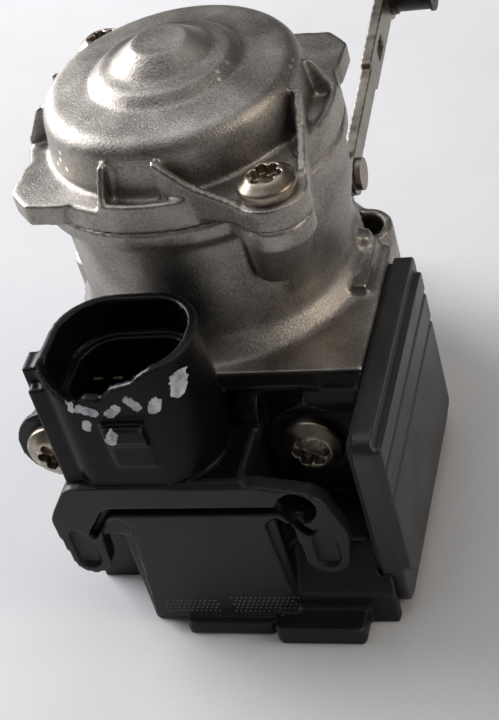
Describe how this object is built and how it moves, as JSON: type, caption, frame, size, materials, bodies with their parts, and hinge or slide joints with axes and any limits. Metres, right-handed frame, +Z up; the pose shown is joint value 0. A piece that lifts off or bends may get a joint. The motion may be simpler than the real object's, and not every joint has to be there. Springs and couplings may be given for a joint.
{
  "type": "turbo bypass valve actuator",
  "caption": "Electric actuator for a turbocharger bypass flap: domed cast motor housing, worm gear block, black plastic socket cover, and a crank and link rod with an eye bush.",
  "frame": {"origin": "base face of the gear block, on the motor axis", "axes": "+Z up along the motor axis to the domed cap, +Y to the back where the link rod points, -Y to the front with the electrical socket, +X to the side cover"},
  "size_m": [0.0634, 0.1242, 0.08],
  "materials": {
    "cast_aluminium": "matte",
    "black_nylon": "satin",
    "plated_screw_steel": "polished",
    "linkage_steel": "satin",
    "shaft_steel": "polished",
    "seal_rubber": "matte",
    "tinned_brass": "satin",
    "bearing_bronze": "satin",
    "yoke_steel": "satin",
    "ferrite": "matte",
    "copper_wire": "gloss",
    "core_steel": "satin",
    "holder_plastic": "satin",
    "brush_carbon": "matte",
    "wheel_plastic": "satin",
    "board_laminate": "satin",
    "bush_steel": "satin"
  },
  "bodies": {
    "housing": {"motor_cap": "cast_aluminium", "cap_seal": "seal_rubber", "cap_screws": "plated_screw_steel", "gear_housing": "cast_aluminium", "front_cover": "black_nylon", "front_cover_seal": "seal_rubber", "front_cover_screws": "plated_screw_steel", "connector_terminals": "tinned_brass", "side_cover": "black_nylon", "side_cover_seal": "seal_rubber", "circuit_board": "board_laminate", "motor_yoke": "yoke_steel", "motor_magnets": "ferrite", "brush_holder": "holder_plastic", "motor_brushes": "brush_carbon", "top_bearing": "shaft_steel", "bottom_bearing": "shaft_steel", "wave_washer": "shaft_steel", "worm_end_bush": "bearing_bronze", "shaft_bushes": "bearing_bronze", "shaft_seal": "seal_rubber", "gear_cover": "cast_aluminium", "position_sensor": "ferrite", "gear_cover_screws": "plated_screw_steel"},
    "rotor": {"motor_shaft": "shaft_steel", "rotor_core": "core_steel", "rotor_winding": "copper_wire", "commutator": "copper_wire", "worm": "shaft_steel"},
    "output": {"worm_wheel": "wheel_plastic", "output_shaft": "shaft_steel", "sensor_magnet": "ferrite", "crank_lever": "linkage_steel", "crank_pin": "linkage_steel", "pin_washer": "linkage_steel"},
    "rod": {"link_rod": "linkage_steel", "rod_bush": "bush_steel"}
  },
  "joints": [
    {"name": "rotor_spin", "type": "hinge", "parent": "housing", "child": "rotor", "pos_m": [0, 0, 0.018], "axis": [0, 0, -1], "range_deg": [0, 1120]},
    {"name": "output_turn", "type": "hinge", "parent": "housing", "child": "output", "pos_m": [0, 0.018, 0.018], "axis": [-1, 0, 0], "range_deg": [0, 40]},
    {"name": "rod_swing", "type": "hinge", "parent": "output", "child": "rod", "pos_m": [0.0176, 0.0204, 0.0384], "axis": [1, 0, 0], "range_deg": [-10, 50]}
  ],
  "couplings": [
    {"joint": "output_turn", "follows": "rotor_spin", "ratio": 0.035714}
  ]
}
